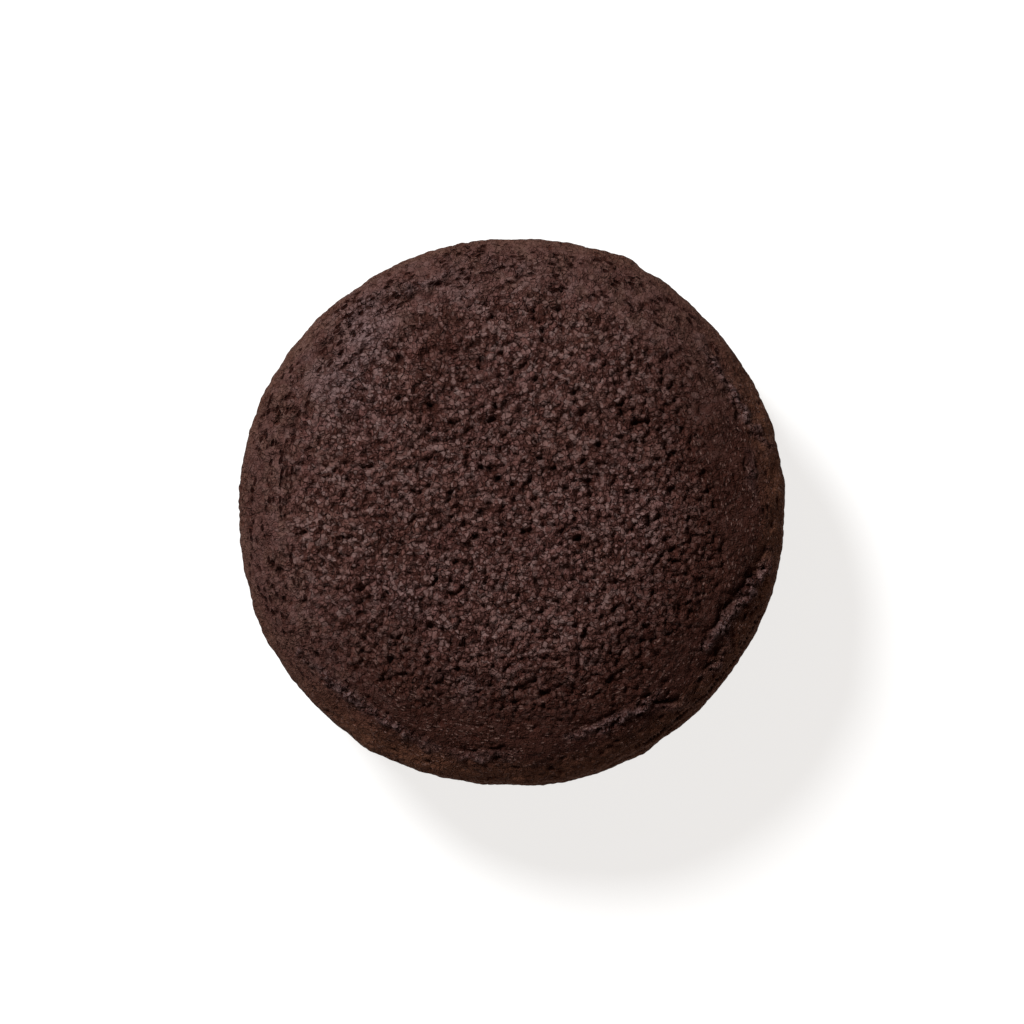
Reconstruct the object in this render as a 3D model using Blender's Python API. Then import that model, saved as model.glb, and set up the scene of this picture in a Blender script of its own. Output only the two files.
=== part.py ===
"""A chocolate sandwich cookie: two domed cookies with a disc of creme between their flat sides.

Lengths are in metres and +Z is up. The origin is on the table, under the middle of the cookie.
The upper cookie's dome faces up. The lower cookie's dome faces down, and rests on a small flat spot.
Angles are in degrees round +Z from +X. A share is a distance from a cookie's axis over its radius.
"""

import math
from collections import namedtuple

import bmesh
import bpy
from mathutils import Vector, noise

MM = 0.001

# Driving dimensions of one cookie
RADIUS = 30.0 * MM
WIDEST_HEIGHT = 2.0 * MM  # from the flat side to the widest line
DOME_RISE = 7.0 * MM  # from the widest line to the crown
DOME_FULLNESS = 3.0  # 2 would be an ellipse, and more is flatter in the middle
TUCK = 1.5 * MM  # how far the flat side's edge lies in from the widest line

# How the pieces are stacked
GAP = 0.3 * MM  # left between pieces that touch
REST_CUT = 0.15 * MM  # how much of the lower crown is pressed flat
CREME_THICKNESS = 3.6 * MM
CREME_RECESS = 2.6 * MM  # from the cookies' widest line in to the creme's
CREME_BULGE = 0.7 * MM  # how far the creme's side bulges between the cookies
LOWER_RADIUS = RADIUS - 0.15 * MM
OFFSET = 0.55 * MM  # how far apart the axes of the two cookies lie
OFFSET_ANGLE = -52.0  # the way to the lower cookie's axis

# Relief of the baked crust
SWELL_SIZE = 13.0 * MM  # broad low humps
SWELL_HEIGHT = 0.30 * MM
SWELL_SHARES = (0.80, 1.00)  # the humps fade out between these shares
PEBBLE_SIZE = 3.0 * MM  # the coarsest crumbs
PEBBLE_HEIGHT = 0.26 * MM
REST_SHARES = (0.22, 0.34)  # the lower crust is smooth inside the first and full outside the second
LIP_DISTANCE = 1.5  # from a crease's floor to its lip, in half widths
LIP_SPREAD = 0.84  # width of the lip, in half widths
CREASE_REACH = 9.0 * MM  # farther than this from its ends and middle, a crease adds nothing

# Fineness of the meshes
UPPER_SPACING = 1.05 * MM
LOWER_SPACING = 1.45 * MM
CREME_SPACING = 1.9 * MM
LEAST_GROOVE = 0.85 * MM  # half width of the narrowest groove that the meshes can hold
FLAT_SIDE_SHARES = (0.84, 0.62, 0.34)  # rings across a flat side, as shares of its edge
SECTION_SAMPLES = 600
CREASE_STEPS = 14
RING_TWIST = 0.618  # part of a step that each ring is turned from the last

# Colours, linear
CHOCOLATE = (0.042, 0.017, 0.012, 1.0)
CREME = (0.86, 0.80, 0.69, 1.0)

# Rim waves: how many go round, their height as a share of the radius, and the angle of a crest
Wave = namedtuple("Wave", "count share crest")
UPPER_WAVES = (
    Wave(2, 0.0036, 56.5),
    Wave(4, 0.0023, 56.8),
    Wave(5, 0.0028, 3.2),
    Wave(8, 0.0020, 20.5),
)
LOWER_WAVES = (Wave(2, 0.0030, 100.0), Wave(3, 0.0026, 20.0), Wave(7, 0.0020, 11.0))
CREME_WAVES = (Wave(2, 0.0120, 20.0), Wave(3, 0.0090, 75.0), Wave(7, 0.0060, 5.0))

# Rim bumps: the angle, the height as a share of the radius, and the half width in degrees
Bump = namedtuple("Bump", "angle share half_width")
UPPER_BUMPS = (Bump(65.5, 0.009, 4.0), Bump(239.5, 0.008, 3.0), Bump(308.0, -0.012, 24.0))
LOWER_BUMPS = (
    Bump(35.0, 0.007, 5.0),
    Bump(205.0, 0.008, 4.0),
    Bump(268.0, -0.009, 6.0),
    Bump(290.0, 0.008, 8.0),
    Bump(314.0, -0.007, 5.0),
)

# Creases of the crust. Each line runs through three points, given as an angle and a share.
# Depth, half width and lip are in millimetres, and the lip is on the outer side.
Crease = namedtuple("Crease", "start middle end depth half_width lip")
UPPER_CREASES = (
    Crease((81, 0.90), (89, 0.86), (99, 0.92), 0.45, 0.50, 0.20),
    Crease((102, 0.88), (111, 0.86), (123, 0.90), 0.60, 0.55, 0.35),
    Crease((105, 0.95), (110, 0.945), (115, 0.95), 0.25, 0.35, 0.10),
    Crease((125, 0.90), (133, 0.90), (142, 0.92), 0.50, 0.50, 0.25),
    Crease((151, 0.855), (156, 0.86), (161, 0.885), 0.40, 0.50, 0.15),
    Crease((167, 0.775), (169, 0.80), (172, 0.84), 0.35, 0.45, 0.15),
    Crease((14, 0.94), (27, 0.89), (42, 0.90), 0.45, 0.50, 0.45),
    Crease((2, 0.87), (8, 0.862), (13, 0.875), 0.35, 0.50, 0.15),
    Crease((327, 0.84), (338, 0.865), (350, 0.93), 0.70, 0.60, 0.65),
    Crease((321, 0.905), (324, 0.91), (327, 0.915), 0.55, 0.50, 0.25),
    Crease((306, 0.86), (309, 0.89), (312, 0.915), 0.55, 0.45, 0.20),
    Crease((286, 0.83), (296, 0.825), (307, 0.835), 0.55, 0.45, 0.55),
    Crease((257, 0.885), (263, 0.875), (270, 0.865), 0.45, 0.45, 0.25),
    Crease((214, 0.905), (231, 0.862), (251, 0.885), 0.45, 0.45, 0.45),
)
LOWER_CREASES = (
    Crease((20, 0.86), (33, 0.88), (46, 0.92), 0.70, 0.65, 0.60),
    Crease((70, 0.90), (79, 0.86), (90, 0.90), 0.50, 0.55, 0.30),
    Crease((128, 0.84), (140, 0.83), (151, 0.87), 0.65, 0.60, 0.50),
    Crease((176, 0.92), (184, 0.88), (195, 0.87), 0.50, 0.50, 0.30),
    Crease((222, 0.87), (231, 0.89), (238, 0.93), 0.45, 0.50, 0.35),
    Crease((262, 0.83), (274, 0.85), (285, 0.83), 0.70, 0.60, 0.60),
    Crease((318, 0.90), (326, 0.88), (337, 0.91), 0.50, 0.50, 0.30),
)

# What a mesh of rings is made from: a ring's distance from the axis and its height, how much of
# the crust's relief it takes, how far apart its points lie, and its outward normal in the section
RingPlan = namedtuple("RingPlan", "distance height relief spacing normal")


def clear_scene():
    for thing in list(bpy.data.objects):
        bpy.data.objects.remove(thing)


def plain_material(name, colour, roughness):
    material = bpy.data.materials.new(name)
    material.use_nodes = True
    shader = material.node_tree.nodes["Principled BSDF"]
    shader.inputs["Base Color"].default_value = colour
    shader.inputs["Roughness"].default_value = roughness
    shader.inputs["Metallic"].default_value = 0.0
    return material


def direction(degrees):
    turn = math.radians(degrees)
    return Vector((math.cos(turn), math.sin(turn), 0))


def smooth_step(value, low, high):
    """Rises smoothly from 0 at low to 1 at high."""
    t = min(max((value - low) / (high - low), 0.0), 1.0)
    return t * t * (3 - 2 * t)


def rim_share(degrees, waves, bumps):
    """The rim's distance from the axis at an angle, as a share of the mean radius."""
    share = 1.0
    for wave in waves:
        share += wave.share * math.cos(wave.count * math.radians(degrees - wave.crest))
    for bump in bumps:
        away = (degrees - bump.angle + 180) % 360 - 180
        share += bump.share * math.exp(-((away / bump.half_width) ** 2))
    return share


def cookie_section(t):
    """Half of a cookie's section, as distance from the axis, height over its flat side and relief.

    t runs from 0 at the crown through 1 at the widest line to 2 at the flat side's edge.
    """
    if t <= 1:
        turn = t * math.pi / 2
        distance = RADIUS * math.sin(turn) ** (2 / DOME_FULLNESS)
        return distance, WIDEST_HEIGHT + DOME_RISE * math.cos(turn), 1.0
    turn = (t - 1) * math.pi / 2
    distance = RADIUS - TUCK * (1 - math.cos(turn))
    return distance, WIDEST_HEIGHT * (1 - math.sin(turn)), math.cos(turn)


def creme_section(t):
    """Half of the creme's section: a flat top for t from 0 to 1, and a bulging side from 1 to 2."""
    edge = RADIUS - CREME_RECESS - CREME_BULGE
    if t <= 1:
        return edge * t, CREME_THICKNESS, 0.0
    turn = (t - 1) * math.pi
    return edge + CREME_BULGE * math.sin(turn), CREME_THICKNESS * (1 + math.cos(turn)) / 2, 0.0


def plan_rings(section, spacing):
    """Rings down a half section, about one spacing apart, and then wider across the flat side."""
    samples = [section(2 * i / SECTION_SAMPLES) for i in range(SECTION_SAMPLES + 1)]
    lengths = [0.0]
    for before, after in zip(samples, samples[1:]):
        lengths.append(lengths[-1] + math.dist(before[:2], after[:2]))
    count = round(lengths[-1] / spacing)
    rings = []
    place = 0
    for number in range(1, count + 1):
        while place < SECTION_SAMPLES and lengths[place] < lengths[-1] * number / count:
            place += 1
        distance, height, relief = samples[place]
        back = samples[max(place - 2, 0)]
        ahead = samples[min(place + 2, SECTION_SAMPLES)]
        run = ahead[0] - back[0]
        drop = back[1] - ahead[1]
        length = math.hypot(run, drop)
        rings.append(RingPlan(distance, height, relief, spacing, (drop / length, run / length)))
    edge = rings[-1].distance
    for share in FLAT_SIDE_SHARES:
        wide_spacing = spacing * (3.5 - 2.5 * share)
        rings.append(RingPlan(edge * share, 0.0, 0.0, wide_spacing, (0.0, -1.0)))
    return rings


def crease_line(crease):
    """Points in the plan along the curve that runs through a crease's three named points."""
    start, middle, end = Vector(crease.start), Vector(crease.middle), Vector(crease.end)
    control = 2 * middle - (start + end) / 2
    line = []
    for step in range(CREASE_STEPS + 1):
        t = step / CREASE_STEPS
        degrees, share = (1 - t) ** 2 * start + 2 * t * (1 - t) * control + t**2 * end
        line.append(direction(degrees) * share * RADIUS)
    return line


def crease_relief(here, crease, line):
    """The height that one crease adds at a place in the plan: a groove with a lip outside it."""
    if min((here - line[i]).length for i in (0, CREASE_STEPS // 2, -1)) > CREASE_REACH:
        return 0.0
    nearest = min(range(len(line)), key=lambda i: (here - line[i]).length)
    half_width = max(crease.half_width * MM, LEAST_GROOVE)
    away = (here - line[nearest]).length / half_width
    height = -crease.depth * MM * math.exp(-(away**2))
    if here.length > line[nearest].length:
        height += crease.lip * MM * math.exp(-(((away - LIP_DISTANCE) / LIP_SPREAD) ** 2))
    along = nearest / CREASE_STEPS
    fade = math.sin(math.pi * (0.08 + 0.84 * along)) ** 0.6
    return fade * height


def crust_relief(place, seed, folds):
    """Height of the crust over the plain dome: broad swells, coarse crumbs and creases."""
    start = Vector((7.3, 3.1, 5.7)) * seed
    here = Vector((place.x, place.y, 0))
    calm = 1 - smooth_step(here.length / RADIUS, *SWELL_SHARES)
    swell = noise.noise(place / SWELL_SIZE + start) * SWELL_HEIGHT * calm
    pebbles = noise.noise(place / PEBBLE_SIZE + 2 * start) * PEBBLE_HEIGHT
    return swell + pebbles + sum(crease_relief(here, crease, line) for crease, line in folds)


def fill_between(mesh, outer, outer_turn, inner, inner_turn):
    """Triangles between two closed rings, stepping on along whichever ring is behind."""
    a = 0
    b = 0
    while a < len(outer) or b < len(inner):
        next_a = (a + 1 + outer_turn) / len(outer)
        next_b = (b + 1 + inner_turn) / len(inner)
        corner_a = outer[a % len(outer)]
        corner_b = inner[b % len(inner)]
        if b >= len(inner) or (a < len(outer) and next_a <= next_b):
            a += 1
            mesh.faces.new((corner_a, outer[a % len(outer)], corner_b))
        else:
            b += 1
            mesh.faces.new((corner_a, inner[b % len(inner)], corner_b))


def fill_cap(mesh, ring, centre):
    """A fan of triangles from a ring to a point on the axis."""
    for i, corner in enumerate(ring):
        mesh.faces.new((corner, ring[(i + 1) % len(ring)], centre))


def solid_of_rings(rings, top_height, shape):
    """A closed mesh of rings round the axis, each with as many points as its length needs.

    shape(ring, degrees) gives the place of one of a ring's points.
    """
    mesh = bmesh.new()
    last = None
    last_turn = 0.0
    for number, ring in enumerate(rings):
        count = max(6, round(2 * math.pi * ring.distance / ring.spacing))
        turn = (number * RING_TWIST) % 1.0
        corners = [mesh.verts.new(shape(ring, 360 * (i + turn) / count)) for i in range(count)]
        if last is None:
            fill_cap(mesh, corners, mesh.verts.new((0, 0, top_height)))
        else:
            fill_between(mesh, last, last_turn, corners, turn)
        last = corners
        last_turn = turn
    fill_cap(mesh, last, mesh.verts.new((0, 0, 0)))
    return mesh


def make_cookie(radius, spacing, waves, bumps, creases, seed, rest_cut):
    """One domed cookie with its flat side at height 0, and its crown cut off by rest_cut."""
    folds = [(crease, crease_line(crease)) for crease in creases]
    top_height = WIDEST_HEIGHT + DOME_RISE - rest_cut

    def shape(ring, degrees):
        across = direction(degrees)
        rim = rim_share(degrees, waves, bumps) * radius / RADIUS
        place = across * ring.distance * rim + Vector((0, 0, ring.height))
        if ring.relief > 0:
            relief = ring.relief * crust_relief(place, seed, folds)
            if rest_cut > 0:
                relief *= smooth_step(ring.distance / RADIUS, *REST_SHARES)
            place += (across * ring.normal[0] + Vector((0, 0, ring.normal[1]))) * relief
        if rest_cut > 0:
            place.z = min(place.z, top_height)
        return place

    return solid_of_rings(plan_rings(cookie_section, spacing), top_height, shape)


def make_creme():
    """The creme, a disc with a soft bulging side, with its lower face at height 0."""

    def shape(ring, degrees):
        rim = rim_share(degrees, CREME_WAVES, ())
        return direction(degrees) * ring.distance * rim + Vector((0, 0, ring.height))

    return solid_of_rings(plan_rings(creme_section, CREME_SPACING), CREME_THICKNESS, shape)


def add_object(name, mesh, material, location):
    """Turns a closed bmesh into a smooth-shaded object with its faces outward."""
    bmesh.ops.recalc_face_normals(mesh, faces=mesh.faces)
    data = bpy.data.meshes.new(name)
    mesh.to_mesh(data)
    mesh.free()
    data.materials.append(material)
    data.shade_smooth()
    data.set_sharp_from_angle(angle=math.radians(60))
    thing = bpy.data.objects.new(name, data)
    thing.location = location
    bpy.context.scene.collection.objects.link(thing)


def main():
    clear_scene()
    crumb = plain_material("chocolate_crumb", CHOCOLATE, 0.7)
    creme = plain_material("vanilla_creme", CREME, 0.5)

    half_offset = direction(OFFSET_ANGLE) * OFFSET / 2
    lower_height = WIDEST_HEIGHT + DOME_RISE - REST_CUT
    creme_height = lower_height + GAP
    upper_height = creme_height + CREME_THICKNESS + GAP

    lower = make_cookie(
        LOWER_RADIUS, LOWER_SPACING, LOWER_WAVES, LOWER_BUMPS, LOWER_CREASES, 2, REST_CUT
    )
    bmesh.ops.scale(lower, vec=(1, 1, -1), verts=lower.verts)
    add_object("lower_cookie", lower, crumb, half_offset + Vector((0, 0, lower_height)))

    add_object("creme_filling", make_creme(), creme, (0, 0, creme_height))

    upper = make_cookie(RADIUS, UPPER_SPACING, UPPER_WAVES, UPPER_BUMPS, UPPER_CREASES, 1, 0.0)
    add_object("upper_cookie", upper, crumb, Vector((0, 0, upper_height)) - half_offset)


main()
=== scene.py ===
import itertools
import math
from collections import namedtuple

import bpy
import numpy as np
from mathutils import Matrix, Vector, noise


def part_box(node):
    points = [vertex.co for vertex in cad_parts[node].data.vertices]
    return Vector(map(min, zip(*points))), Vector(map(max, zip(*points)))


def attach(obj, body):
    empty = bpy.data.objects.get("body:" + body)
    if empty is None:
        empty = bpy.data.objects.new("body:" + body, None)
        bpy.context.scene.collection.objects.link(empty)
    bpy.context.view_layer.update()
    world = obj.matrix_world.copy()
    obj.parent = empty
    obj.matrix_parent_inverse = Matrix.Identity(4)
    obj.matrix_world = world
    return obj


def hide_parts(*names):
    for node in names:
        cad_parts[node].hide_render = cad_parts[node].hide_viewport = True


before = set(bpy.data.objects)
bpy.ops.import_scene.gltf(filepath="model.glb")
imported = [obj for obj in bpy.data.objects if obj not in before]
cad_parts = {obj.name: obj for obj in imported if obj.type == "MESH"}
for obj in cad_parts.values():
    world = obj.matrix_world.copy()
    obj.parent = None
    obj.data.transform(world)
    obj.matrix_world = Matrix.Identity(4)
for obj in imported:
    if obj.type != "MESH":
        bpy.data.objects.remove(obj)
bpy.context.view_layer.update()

MM = 0.001
UP = np.array((0.0, 0.0, 1.0))

# The cookies' form, in millimetres. The solids have the same one.
RADIUS = 30.0
WIDEST_HEIGHT = 2.0  # from the flat side to the widest line
DOME_RISE = 7.0  # from the widest line to the crown
DOME_FULLNESS = 3.0
TUCK = 1.5  # how far the flat side's edge lies in from the widest line
REST_CUT = 0.15  # how much of the lower crown is pressed flat
REST_SHARES = (0.22, 0.34)  # shares of the radius between which the relief round that spot begins
LOWER_RADIUS = RADIUS - 0.15
OFFSET = 0.55  # how far apart the axes of the two cookies lie
OFFSET_ANGLE = -52.0  # the way to the lower cookie's axis
SWELL_SIZE = 13.0  # broad low humps
SWELL_HEIGHT = 0.30
SWELL_SHARES = (0.80, 1.00)  # the humps fade out between these shares
PEBBLE_SIZE = 3.0  # the coarsest crumbs
PEBBLE_HEIGHT = 0.26
LIP_DISTANCE = 1.5  # from a crease's floor to its lip, in half widths
LIP_SPREAD = 0.84  # width of the lip, in half widths

# The creme's form, in millimetres
CREME_RECESS = 2.6  # from the cookies' widest line in to the creme's
CREME_BULGE = 0.7  # how far the creme's side bulges between the cookies
CREME_CLEARANCE = 0.05  # what is left of the solids' gap on each side of the soft creme
FLOW_SIZE = 3.2  # soft marks that lie along the creme's side
FLOW_SQUEEZE = 2.2
FLOW_HEIGHT = 0.28
CREME_GRIT_SIZE = 0.8
CREME_GRIT_HEIGHT = 0.05

# Crumbs, clumps of crumbs, pits and slots of the crust, in millimetres. A spread is how unequal the
# grains' heights are, and a tilt is how far they lean.
Heap = namedtuple("Heap", "size spread tilt seed")
CLUMPS = Heap(2.1, 0.6, 0.5, 10)
CLUMP_HEIGHT = 0.22
GRAINS = Heap(0.69, 0.30, 1.1, 20)
GRAIN_HEIGHT = 0.58
WARP_SIZE = 1.4  # what pulls the crumbs out of round
WARP_REACH = 0.34
PITS = Heap(1.5, 0.0, 0.0, 30)
PIT_DEPTH = 0.30
PIT_WIDTH = 0.13  # share of the pit spacing
PIT_SHARE = 0.4  # of the places where a pit could be
SLOTS = Heap(1.5, 0.0, 0.0, 40)
SLOT_DEPTH = 0.34
SLOT_WIDTH = 0.18
SLOT_SHARE = 0.6

# How the solids' creases look in the crumb, in millimetres
CREASE_REACH = 4.0  # how far from its line a crease is worked out
WANDER_SIZE = 1.2  # how the creases' edges wander
WANDER_REACH = 0.75
BREAK_SIZE = 1.7  # lengths of the slots that a crease is broken into
BREAK_RANGE = (-0.22, 0.06)
BREAK_DEPTH = 0.45  # a crease of this depth is broken up, and a deeper one less
BREAK_HOLD = 1.3
CREASE_END = 0.08  # a crease's depth follows half a sine wave, without this share of each end
GROOVE_NARROWING = 0.65  # a crease is this much narrower than in the solids
FOLD_WIDENING = 0.35  # and one with a high lip is a softer fold
FOLD_SHALLOWING = 0.45
CRACK_LIP = 0.625  # a groove with a lip as high as this gets no painted shade inside
CRACK_DEPTHS = (0.08, 0.30)  # and the others get painted shade inside between these depths
LIP_SHARE = 0.47  # how much of a lip's height is left
LIP_CRUMBLE = 0.9  # how unequal it is along the lip
RAGGED_SIZE = 1.1  # how ragged the edges of patches and pores are

# The smoother skin of the rim. Places are shares of the radius.
SKIN_SHARES = (0.89, 1.02)  # where the crumb goes over into the skin
SKIN_CALM = 0.80  # how much of the crumb's relief the skin takes away
BARE_LIPS = (0.05, 0.25)  # lip heights between which the skin gives way to crumb
SMOOTH_SIDE = -50.0  # the side of the cookies where the skin reaches farthest in
SMOOTH_SIDE_REACH = 0.20
SIDE_RANGE = (-0.5, 0.5)  # cosines of the angle to it between which that side begins
DARK_SIDE_SHARES = (0.44, 0.76)  # where the crust turns darker on that side
UNEVEN_SIZE = 6.0  # how unevenly the skin and the darker crust begin, in millimetres
UNEVEN_REACH = 0.10
BANDING = 1.5  # places squeezed by this power of their share make round cells lie along the rim
FLAKE_SIZE = 2.6  # smooth flakes near the rim, with rows of slots between them
FLAKE_SHARES = (0.72, 0.86)
FLAKE_RANGE = (-0.05, 0.20)
LOOSE_SKIN = 0.40  # how much skin there is between the flakes
FLAKE_SKIN = 0.45  # and how much more on them
FLAKE_COVER = 0.8  # how many of the slots the flakes cover
SLOT_END_SHARES = (0.965, 0.99)

# Painted shade in crevices, low grains, pits and the tuck under the edge, and paleness on the lips that is
# partly a painted highlight
CREVICE_GAP = 0.20  # a place that lies less than this over the next grain is in a crevice
CREVICE_SHADE = 0.50
CLUMP_CREVICE_GAP = 0.10
CLUMP_CREVICE_SHADE = 0.8  # as a share of the other's
LOW_GRAINS = (0.15, 0.65)
LOW_GRAIN_SHADE = 0.40
LIP_HIGHLIGHT = 1.7
UNDERSIDE_SHADE = 0.8
UNDERSIDE_RANGE = (0.1, 0.6)

# Fineness of the meshes, in millimetres
CRUST_SPACING = 0.208
FLAT_SIDE_SPACING = 0.40
CREME_SPACING = 0.33
RING_CLOSENESS = 0.93  # how far apart the rings lie, as a share of their points' spacing
RING_TWIST = 0.618
SMALLEST_RING = 0.8
HIDDEN_RADIUS = RADIUS - CREME_RECESS - 2.5  # the rings inside it are hidden and grow coarser
HIDDEN_GROWTH = 1.3
HIDDEN_SPACING = 3.0
CREME_FINE_RADIUS = 20.0  # inside it, where nothing shows, only some of the creme's rings are kept
CREME_THINNING = 6  # one in about this many
SECTION_SAMPLES = 4000
SLOPE_SAMPLES = 3  # how far off the two samples lie that a slope is measured between
CREASE_STEPS = 20

Wave = namedtuple("Wave", "count share crest")
UPPER_WAVES = (
    Wave(2, 0.0036, 56.5),
    Wave(4, 0.0023, 56.8),
    Wave(5, 0.0028, 3.2),
    Wave(8, 0.0020, 20.5),
)
LOWER_WAVES = (Wave(2, 0.0030, 100.0), Wave(3, 0.0026, 20.0), Wave(7, 0.0020, 11.0))
CREME_WAVES = (Wave(2, 0.0120, 20.0), Wave(3, 0.0090, 75.0), Wave(7, 0.0060, 5.0))

Bump = namedtuple("Bump", "angle share half_width")
UPPER_BUMPS = (Bump(65.5, 0.009, 4.0), Bump(239.5, 0.008, 3.0), Bump(308.0, -0.012, 24.0))
LOWER_BUMPS = (
    Bump(35.0, 0.007, 5.0),
    Bump(205.0, 0.008, 4.0),
    Bump(268.0, -0.009, 6.0),
    Bump(290.0, 0.008, 8.0),
    Bump(314.0, -0.007, 5.0),
)

Crease = namedtuple("Crease", "start middle end depth half_width lip")
UPPER_CREASES = (
    Crease((81, 0.90), (89, 0.86), (99, 0.92), 0.45, 0.50, 0.20),
    Crease((102, 0.88), (111, 0.86), (123, 0.90), 0.60, 0.55, 0.35),
    Crease((105, 0.95), (110, 0.945), (115, 0.95), 0.25, 0.35, 0.10),
    Crease((125, 0.90), (133, 0.90), (142, 0.92), 0.50, 0.50, 0.25),
    Crease((151, 0.855), (156, 0.86), (161, 0.885), 0.40, 0.50, 0.15),
    Crease((167, 0.775), (169, 0.80), (172, 0.84), 0.35, 0.45, 0.15),
    Crease((14, 0.94), (27, 0.89), (42, 0.90), 0.45, 0.50, 0.45),
    Crease((2, 0.87), (8, 0.862), (13, 0.875), 0.35, 0.50, 0.15),
    Crease((327, 0.84), (338, 0.865), (350, 0.93), 0.70, 0.60, 0.65),
    Crease((321, 0.905), (324, 0.91), (327, 0.915), 0.55, 0.50, 0.25),
    Crease((306, 0.86), (309, 0.89), (312, 0.915), 0.55, 0.45, 0.20),
    Crease((286, 0.83), (296, 0.825), (307, 0.835), 0.55, 0.45, 0.55),
    Crease((257, 0.885), (263, 0.875), (270, 0.865), 0.45, 0.45, 0.25),
    Crease((214, 0.905), (231, 0.862), (251, 0.885), 0.45, 0.45, 0.45),
)
# A fine seam near the edge on the side where the lower cookie shows
UPPER_SEAMS = (
    Crease((298, 0.973), (307, 0.975), (316, 0.972), 0.70, 0.26, 0.0),
    Crease((315, 0.975), (325, 0.976), (337, 0.985), 0.70, 0.26, 0.0),
)
LOWER_CREASES = (
    Crease((20, 0.86), (33, 0.88), (46, 0.92), 0.70, 0.65, 0.60),
    Crease((70, 0.90), (79, 0.86), (90, 0.90), 0.50, 0.55, 0.30),
    Crease((128, 0.84), (140, 0.83), (151, 0.87), 0.65, 0.60, 0.50),
    Crease((176, 0.92), (184, 0.88), (195, 0.87), 0.50, 0.50, 0.30),
    Crease((222, 0.87), (231, 0.89), (238, 0.93), 0.45, 0.50, 0.35),
    Crease((262, 0.83), (274, 0.85), (285, 0.83), 0.70, 0.60, 0.60),
    Crease((318, 0.90), (326, 0.88), (337, 0.91), 0.50, 0.50, 0.30),
)

# Patches of the upper crust, in millimetres from its axis. A tone below 0 is a dark hollow, and
# one over 0 is pale bloom. Pores are the largest holes, with their depth and radius.
Patch = namedtuple("Patch", "x y radius rise tone")
UPPER_PATCHES = (
    Patch(-7.7, 18.1, 3.0, -0.35, -1.0),
    Patch(-15.4, 19.5, 3.2, 0.15, 0.9),
    Patch(-18.7, 14.0, 3.2, 0.10, 0.9),
    Patch(-5.2, 23.3, 2.0, 0.15, 0.6),
    Patch(-2.4, 4.6, 1.6, -0.20, -0.5),
    Patch(-7.4, -2.5, 1.6, -0.20, -0.5),
    Patch(10.8, 9.0, 1.8, -0.20, -0.5),
    Patch(9.4, 3.5, 1.5, -0.20, -0.5),
    Patch(-9.0, 11.2, 1.8, -0.25, -0.6),
    Patch(-12.3, 17.3, 1.5, -0.20, -0.5),
    Patch(-20.6, 18.2, 1.5, -0.20, -0.4),
    Patch(-23.9, 10.7, 1.6, -0.20, -0.4),
    Patch(-23.9, 4.6, 1.5, -0.20, -0.4),
    Patch(-11.2, -9.7, 1.8, 0.15, 0.5),
    Patch(-4.6, -19.0, 1.6, 0.15, 0.5),
    Patch(14.6, -1.4, 1.6, 0.15, 0.5),
)
Pore = namedtuple("Pore", "x y depth radius")
UPPER_PORES = (
    Pore(-12.2, 16.8, 0.55, 0.45),
    Pore(-2.3, 4.6, 0.50, 0.38),
    Pore(-1.4, 3.6, 0.45, 0.38),
    Pore(-3.2, -0.1, 0.50, 0.40),
    Pore(1.3, -2.2, 0.50, 0.40),
    Pore(7.3, -3.0, 0.45, 0.40),
    Pore(-3.7, -2.7, 0.45, 0.35),
    Pore(-4.3, -6.2, 0.45, 0.33),
    Pore(-8.8, 11.4, 0.50, 0.40),
    Pore(1.0, 11.2, 0.45, 0.38),
    Pore(-6.3, 7.8, 0.40, 0.33),
    Pore(4.7, 4.6, 0.45, 0.38),
    Pore(9.3, 7.2, 0.45, 0.38),
    Pore(-25.2, -6.4, 0.45, 0.40),
)

Cookie = namedtuple("Cookie", "name radius waves bumps creases patches pores seed side")
UPPER = Cookie(
    "upper_crust",
    RADIUS,
    UPPER_WAVES,
    UPPER_BUMPS,
    UPPER_CREASES + UPPER_SEAMS,
    UPPER_PATCHES,
    UPPER_PORES,
    1,
    1,
)
LOWER = Cookie("lower_crust", LOWER_RADIUS, LOWER_WAVES, LOWER_BUMPS, LOWER_CREASES, (), (), 2, -1)

# Colours of the crust, with painted shade, sheen, highlights, glints and bounce light among them
OLIVE_CRUMB = (0.119, 0.0565, 0.0465, 1)
MAUVE_CRUMB = (0.117, 0.0540, 0.0485, 1)
RED_CRUMB = (0.106, 0.0440, 0.0363, 1)
DARK_CRUMB = (0.076, 0.0315, 0.0255, 1)
# Greyer pale facets: partly the crumb's own paler grains, partly painted sheen that stands in for glossy
# highlights on the facets
GREY_FACET_AND_SHEEN = (0.170, 0.1120, 0.1030, 1)
HOLLOW = (0.060, 0.0225, 0.0170, 1)
# Darker towards the rim all round: partly the smoother skin's own colour, partly painted shade that tones
# down the rim's slopes under the key light
RIM_SKIN_AND_SHADE = (0.071, 0.0325, 0.0270, 1)
OLIVE_SKIN = (0.092, 0.0510, 0.0385, 1)
# The crust is darker on the side of the cookies away from the key light
DARK_SIDE_SKIN = (0.031, 0.0098, 0.0062, 1)
EDGE_SKIN = (0.070, 0.0330, 0.0225, 1)
# A paler edge band on the dark side: partly the edge's own olive-brown, partly painted bounce light from
# the floor where the key light doesn't reach
DARK_SIDE_EDGE_AND_BOUNCE = (0.096, 0.0400, 0.0235, 1)
# Pale mauve bloom of the patches; on the crease lips it is partly their own pale crumb, partly a painted
# highlight on the ridges
BLOOM_AND_LIP_HIGHLIGHT = (0.156, 0.1010, 0.0990, 1)
# Painted shade in the narrow cracks between the crumbs' facets
CRACK_SHADE_COLOUR = (0.032, 0.0092, 0.0062, 1)
# Nearly black painted shade inside slots, pores, crease cracks and slits
HOLE_SHADE_COLOUR = (0.014, 0.0032, 0.0020, 1)
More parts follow.
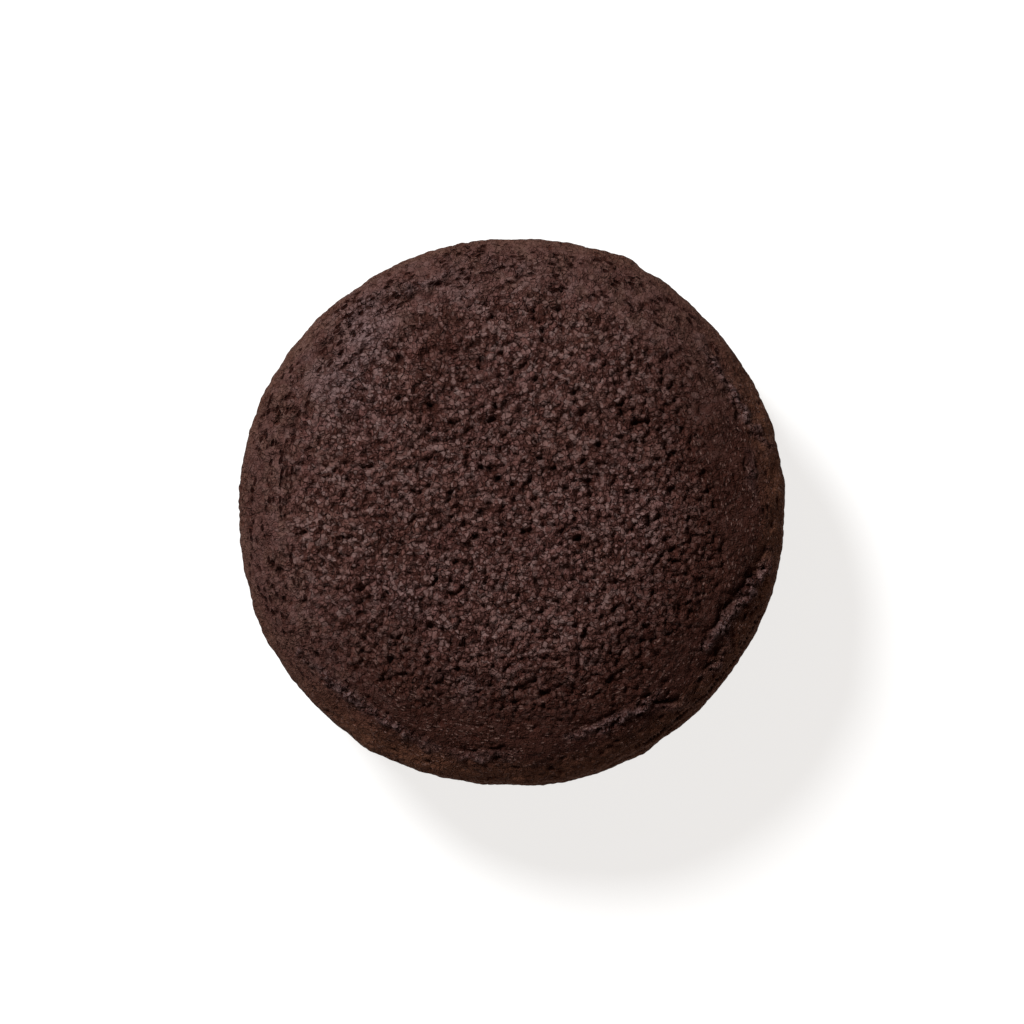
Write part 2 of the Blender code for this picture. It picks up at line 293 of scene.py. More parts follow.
# Painted shade in crevices, low grains, pits and the tuck under the edge
CREVICE_SHADE_COLOUR = (0.040, 0.0105, 0.0066, 1)
# Painted glints: pale specks that stand in for small highlights on the dark side
GLINT_COLOUR = (0.200, 0.1150, 0.0960, 1)

# Spacing of the material's own marks, in millimetres
FACET_SIZE = 0.56  # the facets of the crumbs
SLIT_SIZE = 1.0  # small slits near the rim
GLINT_SIZE = 0.5  # small raised specks on its dark side, painted pale as glints

# Camera and light. Distances are in metres, and the lens and its sensor in millimetres.
FRAME_WIDTH = 0.1122  # what the picture takes in at the height of the rim
LENS = 200.0
SENSOR = 36.0
VIEW_X = -0.00009  # where the middle of the picture lies
VIEW_Y = 0.00021
KEY_AZIMUTH = 130.0
KEY_ELEVATION = 42.0
KEY_DISTANCE = 1.2
KEY_SIZE = 0.34
KEY_POWER = 25.0
KEY_COLOUR = (0.97, 1.0, 1.02)
SKY_COLOUR = (1.0, 0.68, 0.54, 1)
SKY_STRENGTH = 0.13
FLOOR_SIZE = 6.0
FLOOR_COLOUR = (0.26, 0.26, 0.26, 1)
FLOOR_GLOW_COLOUR = (1.0, 0.99, 0.975, 1)
FLOOR_GLOW = 0.80


def smooth_step(values, low, high):
    """From 0 at the low value to 1 at the high one, level at both ends."""
    t = np.clip((values - low) / (high - low), 0.0, 1.0)
    return t * t * (3 - 2 * t)


# Scattered grains


def cell_numbers(cells, seed):
    """Three repeatable random numbers from 0 to 1 for each whole-numbered cell."""
    key = cells[:, 0] * 73856093 ^ cells[:, 1] * 19349663 ^ cells[:, 2] * 83492791
    numbers = []
    for salt in range(3):
        mixed = (key + (3 * seed + salt) * 0x9E3779B9) & 0xFFFFFFFF
        for _ in range(2):
            mixed = ((mixed ^ (mixed >> 16)) * 0x45D9F3B) & 0xFFFFFFFF
        mixed ^= mixed >> 16
        numbers.append((mixed & 0xFFFFFF) / 0x1000000)
    return np.stack(numbers, axis=1)


def heaped_grains(points, heap, seed):
    """A heap of tilted grains of unequal height.

    Gives each place's height, about 0 to 1, its grain's number, and how far it lies over the next grain.
    """
    places = points / heap.size
    home = np.floor(places).astype(np.int64)
    height = np.full(len(points), -9.0)
    second = height.copy()
    number = np.zeros(len(points))
    for offset in itertools.product((-1, 0, 1), repeat=3):
        cells = home + offset
        jitter = cell_numbers(cells, heap.seed + seed)
        own = (jitter.sum(axis=1) * 7.31) % 1.0
        away = places - cells - jitter
        far = (away**2).sum(axis=1)
        lean = ((jitter * 17.3) % 1.0 - 0.5) * heap.tilt
        grain = 1.0 - heap.spread * own - 0.5 * far - far**2 + (lean * away).sum(axis=1)
        second = np.maximum(second, np.minimum(grain, height))
        number = np.where(grain > height, own, number)
        height = np.maximum(height, grain)
    return height, number, height - second


def holes(points, heap, width, share, seed):
    """Small holes in a share of a heap's cells: 1 in the middle of each and 0 outside."""
    middles, number, _ = heaped_grains(points, heap, seed)
    return np.exp((middles - 1) / width**2) * (number > 1 - share)


def squeezed(points, share):
    """Points drawn in towards the axis, so that round cells lie along the rim."""
    return points * (share**BANDING)[:, None]


def soft_noise(points, size, start):
    """Blender's own gradient noise at each point, from about -1 to 1."""
    places = points / size + start
    return np.array([noise.noise(place) for place in places.tolist()])


def warped(points, size, reach, start):
    """Points pushed about by noise, so that what is made from them is pulled out of round."""
    pushes = [soft_noise(points, size, start + 3.7 * axis) for axis in range(3)]
    return points + reach * np.stack(pushes, axis=1)


# The form of a cookie


def rim_share(turn, waves, bumps):
    """The uneven rim's share of the plain radius at each turn."""
    share = np.ones_like(turn)
    for wave in waves:
        share += wave.share * np.cos(wave.count * (turn - math.radians(wave.crest)))
    for bump in bumps:
        away = (np.degrees(turn) - bump.angle + 180) % 360 - 180
        share += bump.share * np.exp(-((away / bump.half_width) ** 2))
    return share


def cookie_section(t):
    """Distance, height and share of the relief, from t 0 at the crown over 1 at the widest line to 2."""
    if t <= 1:
        turn = t * math.pi / 2
        distance = RADIUS * math.sin(turn) ** (2 / DOME_FULLNESS)
        return distance, WIDEST_HEIGHT + DOME_RISE * math.cos(turn), 1.0
    turn = (t - 1) * math.pi / 2
    distance = RADIUS - TUCK * (1 - math.cos(turn))
    return distance, WIDEST_HEIGHT * (1 - math.sin(turn)), math.cos(turn)


def ring_plan(section, spacing, flat_spacing):
    """Rows of distance, height, relief, spacing and outward normal for the rings from crown to axis."""
    samples = np.array([section(2 * i / SECTION_SAMPLES) for i in range(SECTION_SAMPLES + 1)])
    lengths = np.concatenate([[0], np.cumsum(np.hypot(*np.diff(samples[:, :2], axis=0).T))])
    count = round(lengths[-1] / (spacing * RING_CLOSENESS))
    wanted = np.arange(1, count + 1) / count * lengths[-1]
    place = np.clip(np.searchsorted(lengths, wanted), SLOPE_SAMPLES, SECTION_SAMPLES)
    ahead = samples[np.minimum(place + SLOPE_SAMPLES, SECTION_SAMPLES)]
    slope = ahead[:, :2] - samples[place - SLOPE_SAMPLES][:, :2]
    slope /= np.linalg.norm(slope, axis=1)[:, None]
    rows = [(*samples[p], spacing, -s[1], s[0]) for p, s in zip(place, slope)]
    distance = rows[-1][0] - flat_spacing
    step = flat_spacing
    while distance > SMALLEST_RING:
        rows.append((distance, 0.0, 0.0, step, 0.0, -1.0))
        if distance < HIDDEN_RADIUS:
            step = min(step * HIDDEN_GROWTH, HIDDEN_SPACING)
        distance -= step
    return rows


def rings_of(rows, top_height, relief_at_top):
    """One row for each point of each ring, after one for the crown, and each ring's size and turn."""
    table = [np.array([(0.0, 0.0, top_height, relief_at_top, 0.0, 0.0, 1.0)])]
    sizes = []
    turns = []
    for number, row in enumerate(rows):
        count = max(8, round(2 * math.pi * row[0] / row[3]))
        turn = (number * RING_TWIST) % 1.0
        angles = 2 * math.pi * (np.arange(count) + turn) / count
        table.append(np.column_stack([angles, np.tile(row, (count, 1))]))
        sizes.append(count)
        turns.append(turn)
    table.append(np.array([(0.0, 0.0, 0.0, 0.0, 0.0, 0.0, -1.0)]))
    return np.concatenate(table), sizes, turns


def ring_faces(sizes, turns):
    """Triangles between each ring and the next, and fans to the two points on the axis."""
    faces = []
    start = 1
    for (size_a, size_b), (turn_a, turn_b) in zip(zip(sizes, sizes[1:]), zip(turns, turns[1:])):
        other = start + size_a
        a = 0
        b = 0
        while a < size_a or b < size_b:
            corner_a = start + a % size_a
            corner_b = other + b % size_b
            next_a = (a + 1 + turn_a) * size_b
            next_b = (b + 1 + turn_b) * size_a
            if b >= size_b or (a < size_a and next_a <= next_b):
                a += 1
                faces.append((corner_a, corner_b, start + a % size_a))
            else:
                b += 1
                faces.append((corner_a, corner_b, other + b % size_b))
        start = other
    for i in range(sizes[0]):
        faces.append((0, 1 + i, 1 + (i + 1) % sizes[0]))
    centre = start + sizes[-1]
    for i in range(sizes[-1]):
        faces.append((centre, start + (i + 1) % sizes[-1], start + i))
    return faces


# Relief of the crust


def crease_line(crease):
    """Points in the plan along the curve through a crease's three named points."""
    start, middle, end = (np.array(p, float) for p in (crease.start, crease.middle, crease.end))
    control = 2 * middle - (start + end) / 2
    t = np.linspace(0, 1, CREASE_STEPS + 1)[:, None]
    polar = (1 - t) ** 2 * start + 2 * t * (1 - t) * control + t**2 * end
    turn = np.radians(polar[:, 0])
    return np.column_stack([np.cos(turn), np.sin(turn)]) * polar[:, 1:] * RADIUS


def crease_relief(plan, crease, wander, breaks):
    """A crease's groove, broken into slots where it is shallow, and the crumbly lip outside it."""
    line = crease_line(crease)
    middle = line[CREASE_STEPS // 2]
    reach = np.linalg.norm(line - middle, axis=1).max() + CREASE_REACH
    near = np.nonzero(np.linalg.norm(plan - middle, axis=1) < reach)[0]
    here = plan[near]
    aways = np.linalg.norm(here[:, None] - line[None], axis=2)
    nearest = aways.argmin(axis=1)
    outward = np.linalg.norm(here, axis=1) - np.linalg.norm(line[nearest], axis=1)
    signed = np.sign(outward) * aways.min(axis=1)
    signed += WANDER_REACH * min(1.0, (2 * crease.half_width) ** 2) * wander[near]
    width = crease.half_width * (GROOVE_NARROWING + FOLD_WIDENING * crease.lip)
    depth = crease.depth * (1 - FOLD_SHALLOWING * crease.lip)
    away = np.abs(signed) / width
    along = nearest / CREASE_STEPS
    fade = np.sin(math.pi * (CREASE_END + (1 - 2 * CREASE_END) * along)) ** 0.6
    unbroken = smooth_step(breaks[near] + BREAK_HOLD * (crease.depth - BREAK_DEPTH), *BREAK_RANGE)
    groove = np.zeros(len(plan))
    lip = np.zeros(len(plan))
    groove[near] = depth * fade * unbroken * np.exp(-(away**1.8))
    beyond = (np.abs(signed) / crease.half_width - LIP_DISTANCE) / LIP_SPREAD
    crumbled = 1 + LIP_CRUMBLE * breaks[near]
    lip[near] = crease.lip * fade * crumbled * np.exp(-(beyond**2)) * (signed > 0)
    return groove, lip


def all_creases(plan, creases, wander, breaks):
    """The creases' grooves, the part of them that is cracks and not soft folds, and their lips."""
    grooves = np.zeros(len(plan))
    cracks = np.zeros(len(plan))
    lips = np.zeros(len(plan))
    for crease in creases:
        groove, lip = crease_relief(plan, crease, wander, breaks)
        grooves += groove
        cracks += groove * max(0.0, 1 - crease.lip / CRACK_LIP)
        lips += lip
    return grooves, cracks, lips


def patch_relief(plan, patches, ragged):
    """What the patches add to the height, and their tone."""
    rise = np.zeros(len(plan))
    tone = np.zeros(len(plan))
    for patch in patches:
        away = np.linalg.norm(plan - (patch.x, patch.y), axis=1) / patch.radius
        share = np.exp(-((away * (1 + 0.7 * ragged)) ** 2))
        rise += patch.rise * share
        tone += patch.tone * share
    return rise, tone


def pore_relief(plan, pores, ragged):
    """How deep each place lies in one of the large pores, and its share of the full depth."""
    depth = np.zeros(len(plan))
    share = np.zeros(len(plan))
    for pore in pores:
        away = np.linalg.norm(plan - (pore.x, pore.y), axis=1) / pore.radius
        own = np.exp(-((away * (1 + 0.6 * ragged)) ** 4))
        depth += pore.depth * own
        share = np.maximum(share, own)
    return depth, share


def rim_skin(places, share, lips, start):
    """How far each place is smooth skin, how far it lies in the darker crust on the side away from the key
    light, and how far it is open to slots.
    """
    turn = np.arctan2(places[:, 1], places[:, 0])
    side = smooth_step(np.cos(turn - math.radians(SMOOTH_SIDE)), *SIDE_RANGE)
    uneven = share + UNEVEN_REACH * soft_noise(places, UNEVEN_SIZE, 4 * start)
    skin = smooth_step(uneven + SMOOTH_SIDE_REACH * side, *SKIN_SHARES)
    # From these shares outward, the crust turns darker on the side away from the key light
    dark_side = side * smooth_step(uneven, *DARK_SIDE_SHARES)
    flaky = smooth_step(share, *FLAKE_SHARES)
    flakes = smooth_step(soft_noise(squeezed(places, share), FLAKE_SIZE, 9 * start), *FLAKE_RANGE)
    skin = np.maximum(skin, flaky * (LOOSE_SKIN + FLAKE_SKIN * flakes))
    skin *= 1 - smooth_step(lips, *BARE_LIPS)
    slotted = flaky * (1 - FLAKE_COVER * flakes) * (1 - smooth_step(share, *SLOT_END_SHARES))
    return skin, dark_side, slotted


def crust_relief(places, cookie):
    """Heights over the plain dome, and the numbers that the material takes its colours from."""
    start = np.array((7.3, 3.1, 5.7)) * cookie.seed
    plan = places[:, :2]
    share = np.linalg.norm(plan, axis=1) / RADIUS
    swell = soft_noise(places, SWELL_SIZE, start) * SWELL_HEIGHT
    swell *= 1 - smooth_step(share, *SWELL_SHARES)
    pebbles = soft_noise(places, PEBBLE_SIZE, 2 * start) * PEBBLE_HEIGHT
    wander = soft_noise(places, WANDER_SIZE, 3 * start)
    breaks = soft_noise(places, BREAK_SIZE, 6 * start)
    ragged = soft_noise(places, RAGGED_SIZE, 7 * start)
    grooves, cracks, lips = all_creases(plan, cookie.creases, wander, breaks)
    rise, tone = patch_relief(plan, cookie.patches, ragged)
    pore_depth, pore_share = pore_relief(plan, cookie.pores, ragged)
    broad = swell + pebbles + rise - grooves + LIP_SHARE * lips
    if cookie.side < 0:
        broad *= smooth_step(share, *REST_SHARES)

    pulled = warped(places, WARP_SIZE, WARP_REACH, 8 * start)
    clumps, _, clump_gap = heaped_grains(pulled, CLUMPS, cookie.seed)
    grains, number, grain_gap = heaped_grains(pulled, GRAINS, cookie.seed)
    rough = CLUMP_HEIGHT * (clumps - clumps.mean()) + GRAIN_HEIGHT * (grains - grains.mean())
    skin, dark_side, slotted = rim_skin(places, share, lips, start)
    pits = holes(places, PITS, PIT_WIDTH, PIT_SHARE, cookie.seed)
    slots = slotted * holes(squeezed(places, share), SLOTS, SLOT_WIDTH, SLOT_SHARE, cookie.seed)
    crumbly = 1 - SKIN_CALM * skin
    height = broad + crumbly * rough - PIT_DEPTH * pits - SLOT_DEPTH * slots - pore_depth

    # Painted shade: crevices between grains and clumps, low grains and pits are darkened where shade falls
    # among the crumbs
    crevices = 1 - smooth_step(grain_gap, 0.0, CREVICE_GAP)
    crevices += CLUMP_CREVICE_SHADE * (1 - smooth_step(clump_gap, 0.0, CLUMP_CREVICE_GAP))
    low_grain = 1 - smooth_step(grains, *LOW_GRAINS)
    crevice_shade = crumbly * (CREVICE_SHADE * crevices + LOW_GRAIN_SHADE * low_grain)
    # Painted shade: slots, pores and the cracks of the creases are painted nearly black inside, where
    # shade falls in them
    hole_shade = slots + pore_share + smooth_step(cracks, *CRACK_DEPTHS)
    colours = {
        "crevice_shade": np.clip(crevice_shade + pits, 0, 1),
        "hole_shade": np.clip(hole_shade, 0, 1),
        # The lips are painted paler: partly pale crumb, partly a painted highlight on the ridges
        "tone": np.clip(tone + LIP_HIGHLIGHT * lips, -1, 1),
        "crumb": number,
        "skin": skin,
        "dark_side": dark_side,
        "slotted": slotted * (1 - 0.6 * dark_side),
        "share": share,
    }
    return height, colours


def mesh_object(name, places, faces, attributes):
    """A smooth-shaded object in metres, with one number a point for each named attribute."""
    data = bpy.data.meshes.new(name)
    data.from_pydata((places * MM).tolist(), [], faces)
    for label, values in attributes.items():
        layer = data.attributes.new(label, "FLOAT", "POINT")
        layer.data.foreach_set("value", values.astype(np.float32))
    data.shade_smooth()
    thing = bpy.data.objects.new(name, data)
    bpy.context.scene.collection.objects.link(thing)
    return thing


def make_cookie(cookie, flat_height):
    """One cookie, dome up or down as its side says, with its flat side at this height."""
    rows = ring_plan(cookie_section, CRUST_SPACING, FLAT_SIDE_SPACING)
    table, sizes, turns = rings_of(rows, WIDEST_HEIGHT + DOME_RISE, 1.0)
    angle, distance, height, relief, _, normal_out, normal_up = table.T
    across = np.column_stack([np.cos(angle), np.sin(angle), np.zeros(len(angle))])
    rim = rim_share(angle, cookie.waves, cookie.bumps) * cookie.radius / RADIUS
    places = across * (distance * rim)[:, None] + height[:, None] * UP
    raised, colours = crust_relief(places, cookie)
    normal = across * normal_out[:, None] + normal_up[:, None] * UP
    places += normal * (relief * raised)[:, None]
    faces = ring_faces(sizes, turns)
    if cookie.side < 0:
        places[:, 2] = np.minimum(places[:, 2], WIDEST_HEIGHT + DOME_RISE - REST_CUT)
        faces = [face[::-1] for face in faces]
    places[:, 2] = places[:, 2] * cookie.side + flat_height
    places[:, :2] -= np.array(direction(OFFSET_ANGLE, 0).xy) * OFFSET / 2 * cookie.side
    # Painted shade on the tuck between the widest line and the flat side, where the cookies curl in
    # towards the creme; it darkens the seam under the upper cookie's edge
    underside_shade = UNDERSIDE_SHADE * smooth_step(1 - relief, *UNDERSIDE_RANGE)
    colours["hole_shade"] *= relief
    colours["crevice_shade"] = np.maximum(colours["crevice_shade"] * relief, underside_shade)
    return mesh_object(cookie.name, places, faces, colours)


def creme_section(thickness):
    """A function like cookie_section for the creme: t is 1 where its side begins."""
    edge = RADIUS - CREME_RECESS - CREME_BULGE

    def section(t):
        if t <= 1:
            return edge * t, thickness, 0.0
        turn = (t - 1) * math.pi
        return edge + CREME_BULGE * math.sin(turn), thickness * (1 + math.cos(turn)) / 2, 1.0

    return section


def make_creme(low, high):
    """The creme between the two cookies' flat sides."""
    thickness = high - low - 2 * CREME_CLEARANCE
    plan = ring_plan(creme_section(thickness), CREME_SPACING, CREME_SPACING)
    rows = []
    for row in plan:
        if row[0] > CREME_FINE_RADIUS or round(row[0] / CREME_SPACING) % CREME_THINNING == 0:
            rows.append(row)
    table, sizes, turns = rings_of(rows, thickness, 0.0)
    angle, distance, height, relief, _, normal_out, normal_up = table.T
    across = np.column_stack([np.cos(angle), np.sin(angle), np.zeros(len(angle))])
    rim = rim_share(angle, CREME_WAVES, ())
    places = across * (distance * rim)[:, None] + height[:, None] * UP
    flow = soft_noise(places * (1, 1, FLOW_SQUEEZE), FLOW_SIZE, np.array((3.0, 9.0, 1.0))) * FLOW_HEIGHT
    grit = soft_noise(places, CREME_GRIT_SIZE, np.array((5.0, 2.0, 8.0))) * CREME_GRIT_HEIGHT
    normal = across * normal_out[:, None] + normal_up[:, None] * UP
    places += normal * (relief * (flow + grit))[:, None]
    places[:, 2] = np.clip(places[:, 2], 0, thickness)
    places += (0, 0, low + CREME_CLEARANCE)
    return mesh_object("creme", places, ring_faces(sizes, turns), {})


# Materials


class Nodes:
    """Short calls for building a material's node tree."""

    def __init__(self, name):
        self.material = bpy.data.materials.new(name)
        self.material.use_nodes = True
        self.tree = self.material.node_tree
        self.shader = self.tree.nodes["Principled BSDF"]
        self.place = self.add("ShaderNodeTexCoord").outputs["Object"]

    def add(self, kind, inputs=None, **settings):
        node = self.tree.nodes.new(kind)
        for key, value in settings.items():
            setattr(node, key, value)
        for key, value in (inputs or {}).items():
            self.give(node.inputs[key], value)
        return node

    def give(self, socket, value):
        if isinstance(value, bpy.types.NodeSocket):
            self.tree.links.new(value, socket)
        else:
            socket.default_value = value

    def noise(self, size, detail=2.0, roughness=0.5, output="Fac"):
        """Noise whose blobs are about this many millimetres across."""
        settings = {"Vector": self.place, "Scale": 1000 / size, "Detail": detail, "Roughness": roughness}
        return self.add("ShaderNodeTexNoise", settings).outputs[output]

    def warped_place(self, size, reach):
        """The object's coordinates, pushed about by noise."""
        reach *= MM
        push = self.vector("MULTIPLY", self.noise(size, output="Color"), (reach, reach, reach))
        return self.vector("ADD", self.place, push)

    def cracks(self, size, place):
        """Distance to the nearest edge between irregular cells of this many millimetres."""
        inputs = {"Vector": place, "Scale": 1000 / size}
        node = self.add("ShaderNodeTexVoronoi", inputs, feature="DISTANCE_TO_EDGE")
        return node.outputs["Distance"]

    def facets(self, size, place):
        """Irregular cells that each slope their own way: their height in millimetres, and their colour."""
        cells = self.add("ShaderNodeTexVoronoi", {"Vector": place, "Scale": 1000 / size})
        away = self.vector("SUBTRACT", place, cells.outputs["Position"])
        lean = self.vector("SUBTRACT", cells.outputs["Color"], (0.5, 0.5, 0.5))
        slope = self.vector("DOT_PRODUCT", away, lean, "Value")
        number = self.add("ShaderNodeSeparateColor", {0: cells.outputs["Color"]}).outputs[0]
        return self.product(slope, 1 / MM), number

    def banded(self, place, share):
        """A place drawn in towards the axis, as squeezed does it."""
        squeeze = self.add("ShaderNodeMath", {0: share, 1: BANDING}, operation="POWER").outputs[0]
        node = self.add("ShaderNodeVectorMath", {0: place, "Scale": squeeze}, operation="SCALE")
        return node.outputs["Vector"]

    def specks(self, size, radius, place):
        """Small round dots, one in most cells of this size, with a radius that is a share of the size."""
        cells = self.add("ShaderNodeTexVoronoi", {"Vector": place, "Scale": 1000 / size})
        chosen = self.add("ShaderNodeSeparateColor", {0: cells.outputs["Color"]}).outputs[1]
        dot = self.ramp(cells.outputs["Distance"], radius, radius * 0.7)
        return self.product(dot, self.ramp(chosen, 0.30, 0.45))

    def vector(self, operation, first, second, output="Vector"):
        node = self.add("ShaderNodeVectorMath", {0: first, 1: second}, operation=operation)
        return node.outputs[output]

    def ramp(self, value, low, high, to_low=0.0, to_high=1.0):
        inputs = {"Value": value, "From Min": low, "From Max": high, "To Min": to_low, "To Max": to_high}
        return self.add("ShaderNodeMapRange", inputs).outputs["Result"]

    def mix(self, amount, first, second):
        node = self.add("ShaderNodeMix", data_type="RGBA")
        self.give(node.inputs["Factor"], amount)
        self.give(node.inputs[6], first)
        self.give(node.inputs[7], second)
        return node.outputs[2]

    def attribute(self, name):
        return self.add("ShaderNodeAttribute", attribute_name=name).outputs["Fac"]

    def sum(self, first, second):
        return self.add("ShaderNodeMath", {0: first, 1: second}, operation="ADD").outputs[0]

    def product(self, first, second):
        return self.add("ShaderNodeMath", {0: first, 1: second}, operation="MULTIPLY").outputs[0]

    def bump(self, height, distance, normal=None):
        inputs = {"Height": height, "Strength": 1.0, "Distance": distance * MM}
        if normal is not None:
            inputs["Normal"] = normal
        return self.add("ShaderNodeBump", inputs).outputs["Normal"]


def crumb_material():
    nodes = Nodes("chocolate_crumb")
    tone = nodes.attribute("tone")
    skin = nodes.attribute("skin")
    dark_side = nodes.attribute("dark_side")
    share = nodes.attribute("share")
    calm = nodes.ramp(skin, 0.0, 1.0, 1.0, 0.45)
    pulled = nodes.warped_place(0.7, 0.6)
    cracks = nodes.cracks(FACET_SIZE, pulled)
    cracks = nodes.sum(cracks, nodes.ramp(nodes.noise(1.1), 0.35, 0.65, 0.05, -0.15))
    # Painted shade in the narrow cracks between the crumbs' facets, calmer on the skin
    crack_shade = nodes.product(nodes.ramp(cracks, 0.0, 0.08, 0.85, 0.0), calm)
    facet_height, facet_number = nodes.facets(FACET_SIZE, pulled)
    banded = nodes.banded(pulled, share)
    # Painted glints on the dark side, on specks that the bump also raises
    glint_specks = nodes.product(nodes.specks(GLINT_SIZE, 0.38, banded), dark_side)
    glint_specks = nodes.product(glint_specks, nodes.ramp(nodes.noise(1.6), 0.42, 0.58, 0.3, 1.0))
    slits = nodes.product(nodes.specks(SLIT_SIZE, 0.44, banded), nodes.attribute("slotted"))
    olive_patches = nodes.ramp(nodes.noise(2.2), 0.50, 0.60, 0.0, 0.5)
    olive = nodes.product(olive_patches, nodes.ramp(share, 0.55, 0.8))
    edge = nodes.ramp(share, 0.955, 1.0, 0.0, 0.8)
    # Paler edge on the dark side, partly own colour, partly painted bounce light
    dark_side_edge_and_bounce = nodes.product(nodes.product(dark_side, dark_side), nodes.ramp(share, 0.89, 0.965))
    layers = (
        (nodes.ramp(nodes.noise(4.0), 0.38, 0.62), MAUVE_CRUMB),
        (nodes.ramp(nodes.noise(2.6), 0.40, 0.60, 0.35, 0.0), RED_CRUMB),
        (nodes.ramp(nodes.attribute("crumb"), 0.0, 1.0, 0.0, 0.45), DARK_CRUMB),
        # partly paler grains, partly painted sheen
        (nodes.ramp(facet_number, 0.3, 1.0, 0.0, 0.7), GREY_FACET_AND_SHEEN),
        (nodes.ramp(tone, 0.0, -1.0, 0.0, 0.8), HOLLOW),
        # partly rim skin colour, partly painted shade on the rim's slopes
        (nodes.ramp(share, 0.74, 0.92, 0.0, 0.85), RIM_SKIN_AND_SHADE),
        (olive, OLIVE_SKIN),
        # darker crust on the side away from the key light
        (nodes.ramp(dark_side, 0.0, 1.0, 0.0, 0.9), DARK_SIDE_SKIN),
        (edge, EDGE_SKIN),
        # partly own edge colour, partly painted bounce light on the dark side
        (dark_side_edge_and_bounce, DARK_SIDE_EDGE_AND_BOUNCE),
        # bloom patches, and lips partly painted highlight
        (nodes.ramp(tone, 0.0, 1.0, 0.0, 0.75), BLOOM_AND_LIP_HIGHLIGHT),
        # painted shade in crevices, low grains, pits and under the edge
        (nodes.ramp(nodes.attribute("crevice_shade"), 0.0, 1.0, 0.0, 0.9), CREVICE_SHADE_COLOUR),
        # painted shade in the cracks between facets
        (crack_shade, CRACK_SHADE_COLOUR),
        # painted shade inside slots, pores and crease cracks
        (nodes.ramp(nodes.attribute("hole_shade"), 0.0, 1.0, 0.0, 0.9), HOLE_SHADE_COLOUR),
        # painted shade inside the small slits, which the bump also dents
        (nodes.ramp(slits, 0.0, 0.7, 0.0, 0.95), HOLE_SHADE_COLOUR),
        # painted glints
        (nodes.ramp(glint_specks, 0.0, 1.0, 0.0, 0.65), GLINT_COLOUR),
    )
    colour = OLIVE_CRUMB
    for amount, layer in layers:
        colour = nodes.mix(amount, colour, layer)
    nodes.give(nodes.shader.inputs["Base Color"], colour)
    matt = nodes.ramp(nodes.noise(1.4), 0.3, 0.7, 0.46, 0.60)
    matt_rim = nodes.ramp(share, 0.8, 0.95, 0.0, 0.35)
    nodes.give(nodes.shader.inputs["Roughness"], nodes.sum(matt, matt_rim))
    nodes.shader.inputs["Specular IOR Level"].default_value = 0.03
    normal = nodes.bump(nodes.product(nodes.ramp(cracks, -0.08, 0.12), calm), 0.17)
    normal = nodes.bump(nodes.product(facet_height, calm), 1.4, normal)
    normal = nodes.bump(nodes.noise(0.20, 2.0, 0.6), 0.27, normal)
    normal = nodes.bump(slits, -0.20, normal)
    normal = nodes.bump(glint_specks, 0.12, normal)
    nodes.give(nodes.shader.inputs["Normal"], normal)
    return nodes.material


def creme_material():
    nodes = Nodes("vanilla_creme")
    base = nodes.mix(nodes.ramp(nodes.noise(4.0), 0.35, 0.7), (0.80, 0.72, 0.58, 1), (0.88, 0.83, 0.73, 1))
    nodes.give(nodes.shader.inputs["Base Color"], base)
    nodes.give(nodes.shader.inputs["Roughness"], nodes.ramp(nodes.noise(1.2), 0.3, 0.7, 0.42, 0.60))
    nodes.shader.inputs["Subsurface Weight"].default_value = 0.25
    nodes.shader.inputs["Subsurface Scale"].default_value = MM
    nodes.shader.inputs["Subsurface Radius"].default_value = (1.2, 0.8, 0.5)
    nodes.give(nodes.shader.inputs["Normal"], nodes.bump(nodes.noise(0.5, 3.0), 0.05))
    return nodes.material


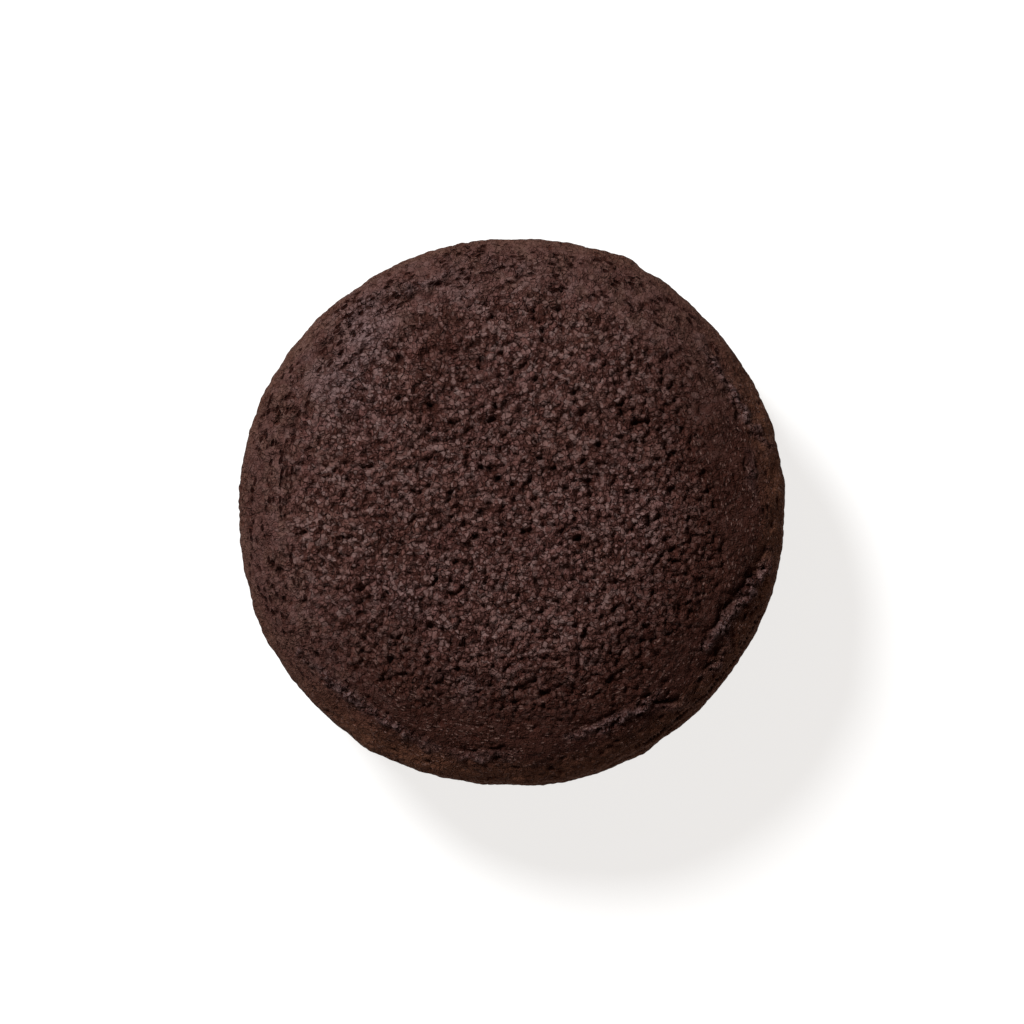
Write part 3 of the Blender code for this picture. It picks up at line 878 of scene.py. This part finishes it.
def floor_material():
    nodes = Nodes("pale_floor")
    nodes.shader.inputs["Base Color"].default_value = FLOOR_COLOUR
    nodes.shader.inputs["Roughness"].default_value = 0.8
    nodes.shader.inputs["Emission Color"].default_value = FLOOR_GLOW_COLOUR
    nodes.shader.inputs["Emission Strength"].default_value = FLOOR_GLOW
    return nodes.material


# Stage, light and camera


def direction(azimuth, elevation):
    a = math.radians(azimuth)
    e = math.radians(elevation)
    return Vector((math.cos(e) * math.cos(a), math.cos(e) * math.sin(a), math.sin(e)))


def add_stage():
    bpy.ops.mesh.primitive_plane_add(size=FLOOR_SIZE, location=(0, 0, 0))
    floor = bpy.context.object
    floor.name = "floor"
    floor.data.materials.append(floor_material())

    light = bpy.data.lights.new("key", "AREA")
    light.shape = "DISK"
    light.size = KEY_SIZE
    light.energy = KEY_POWER
    light.color = KEY_COLOUR
    key = bpy.data.objects.new("key", light)
    bpy.context.scene.collection.objects.link(key)
    toward = direction(KEY_AZIMUTH, KEY_ELEVATION)
    key.location = toward * KEY_DISTANCE
    key.rotation_euler = toward.to_track_quat("Z", "Y").to_euler()

    world = bpy.data.worlds.new("studio")
    bpy.context.scene.world = world
    world.use_nodes = True
    sky = world.node_tree.nodes["Background"]
    sky.inputs["Color"].default_value = SKY_COLOUR
    sky.inputs["Strength"].default_value = SKY_STRENGTH


def add_camera(rim_height):
    data = bpy.data.cameras.new("camera")
    data.lens = LENS
    data.sensor_width = SENSOR
    camera = bpy.data.objects.new("camera", data)
    bpy.context.scene.collection.objects.link(camera)
    distance = FRAME_WIDTH * LENS / SENSOR
    camera.location = (VIEW_X, VIEW_Y, rim_height + distance)
    data.clip_start = 0.01
    data.clip_end = 20.0
    bpy.context.scene.camera = camera


def add_piece(thing, material, node):
    thing.data.materials.append(material)
    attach(thing, "root")
    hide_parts(node)


lower_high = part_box("lower_cookie")[1].z / MM
upper_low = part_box("upper_cookie")[0].z / MM

crumb = crumb_material()
add_piece(make_cookie(UPPER, upper_low), crumb, "upper_cookie")
add_piece(make_cookie(LOWER, lower_high), crumb, "lower_cookie")
add_piece(make_creme(lower_high, upper_low), creme_material(), "creme_filling")

add_stage()
add_camera((upper_low + WIDEST_HEIGHT) * MM)
bpy.context.scene.view_settings.view_transform = "Standard"
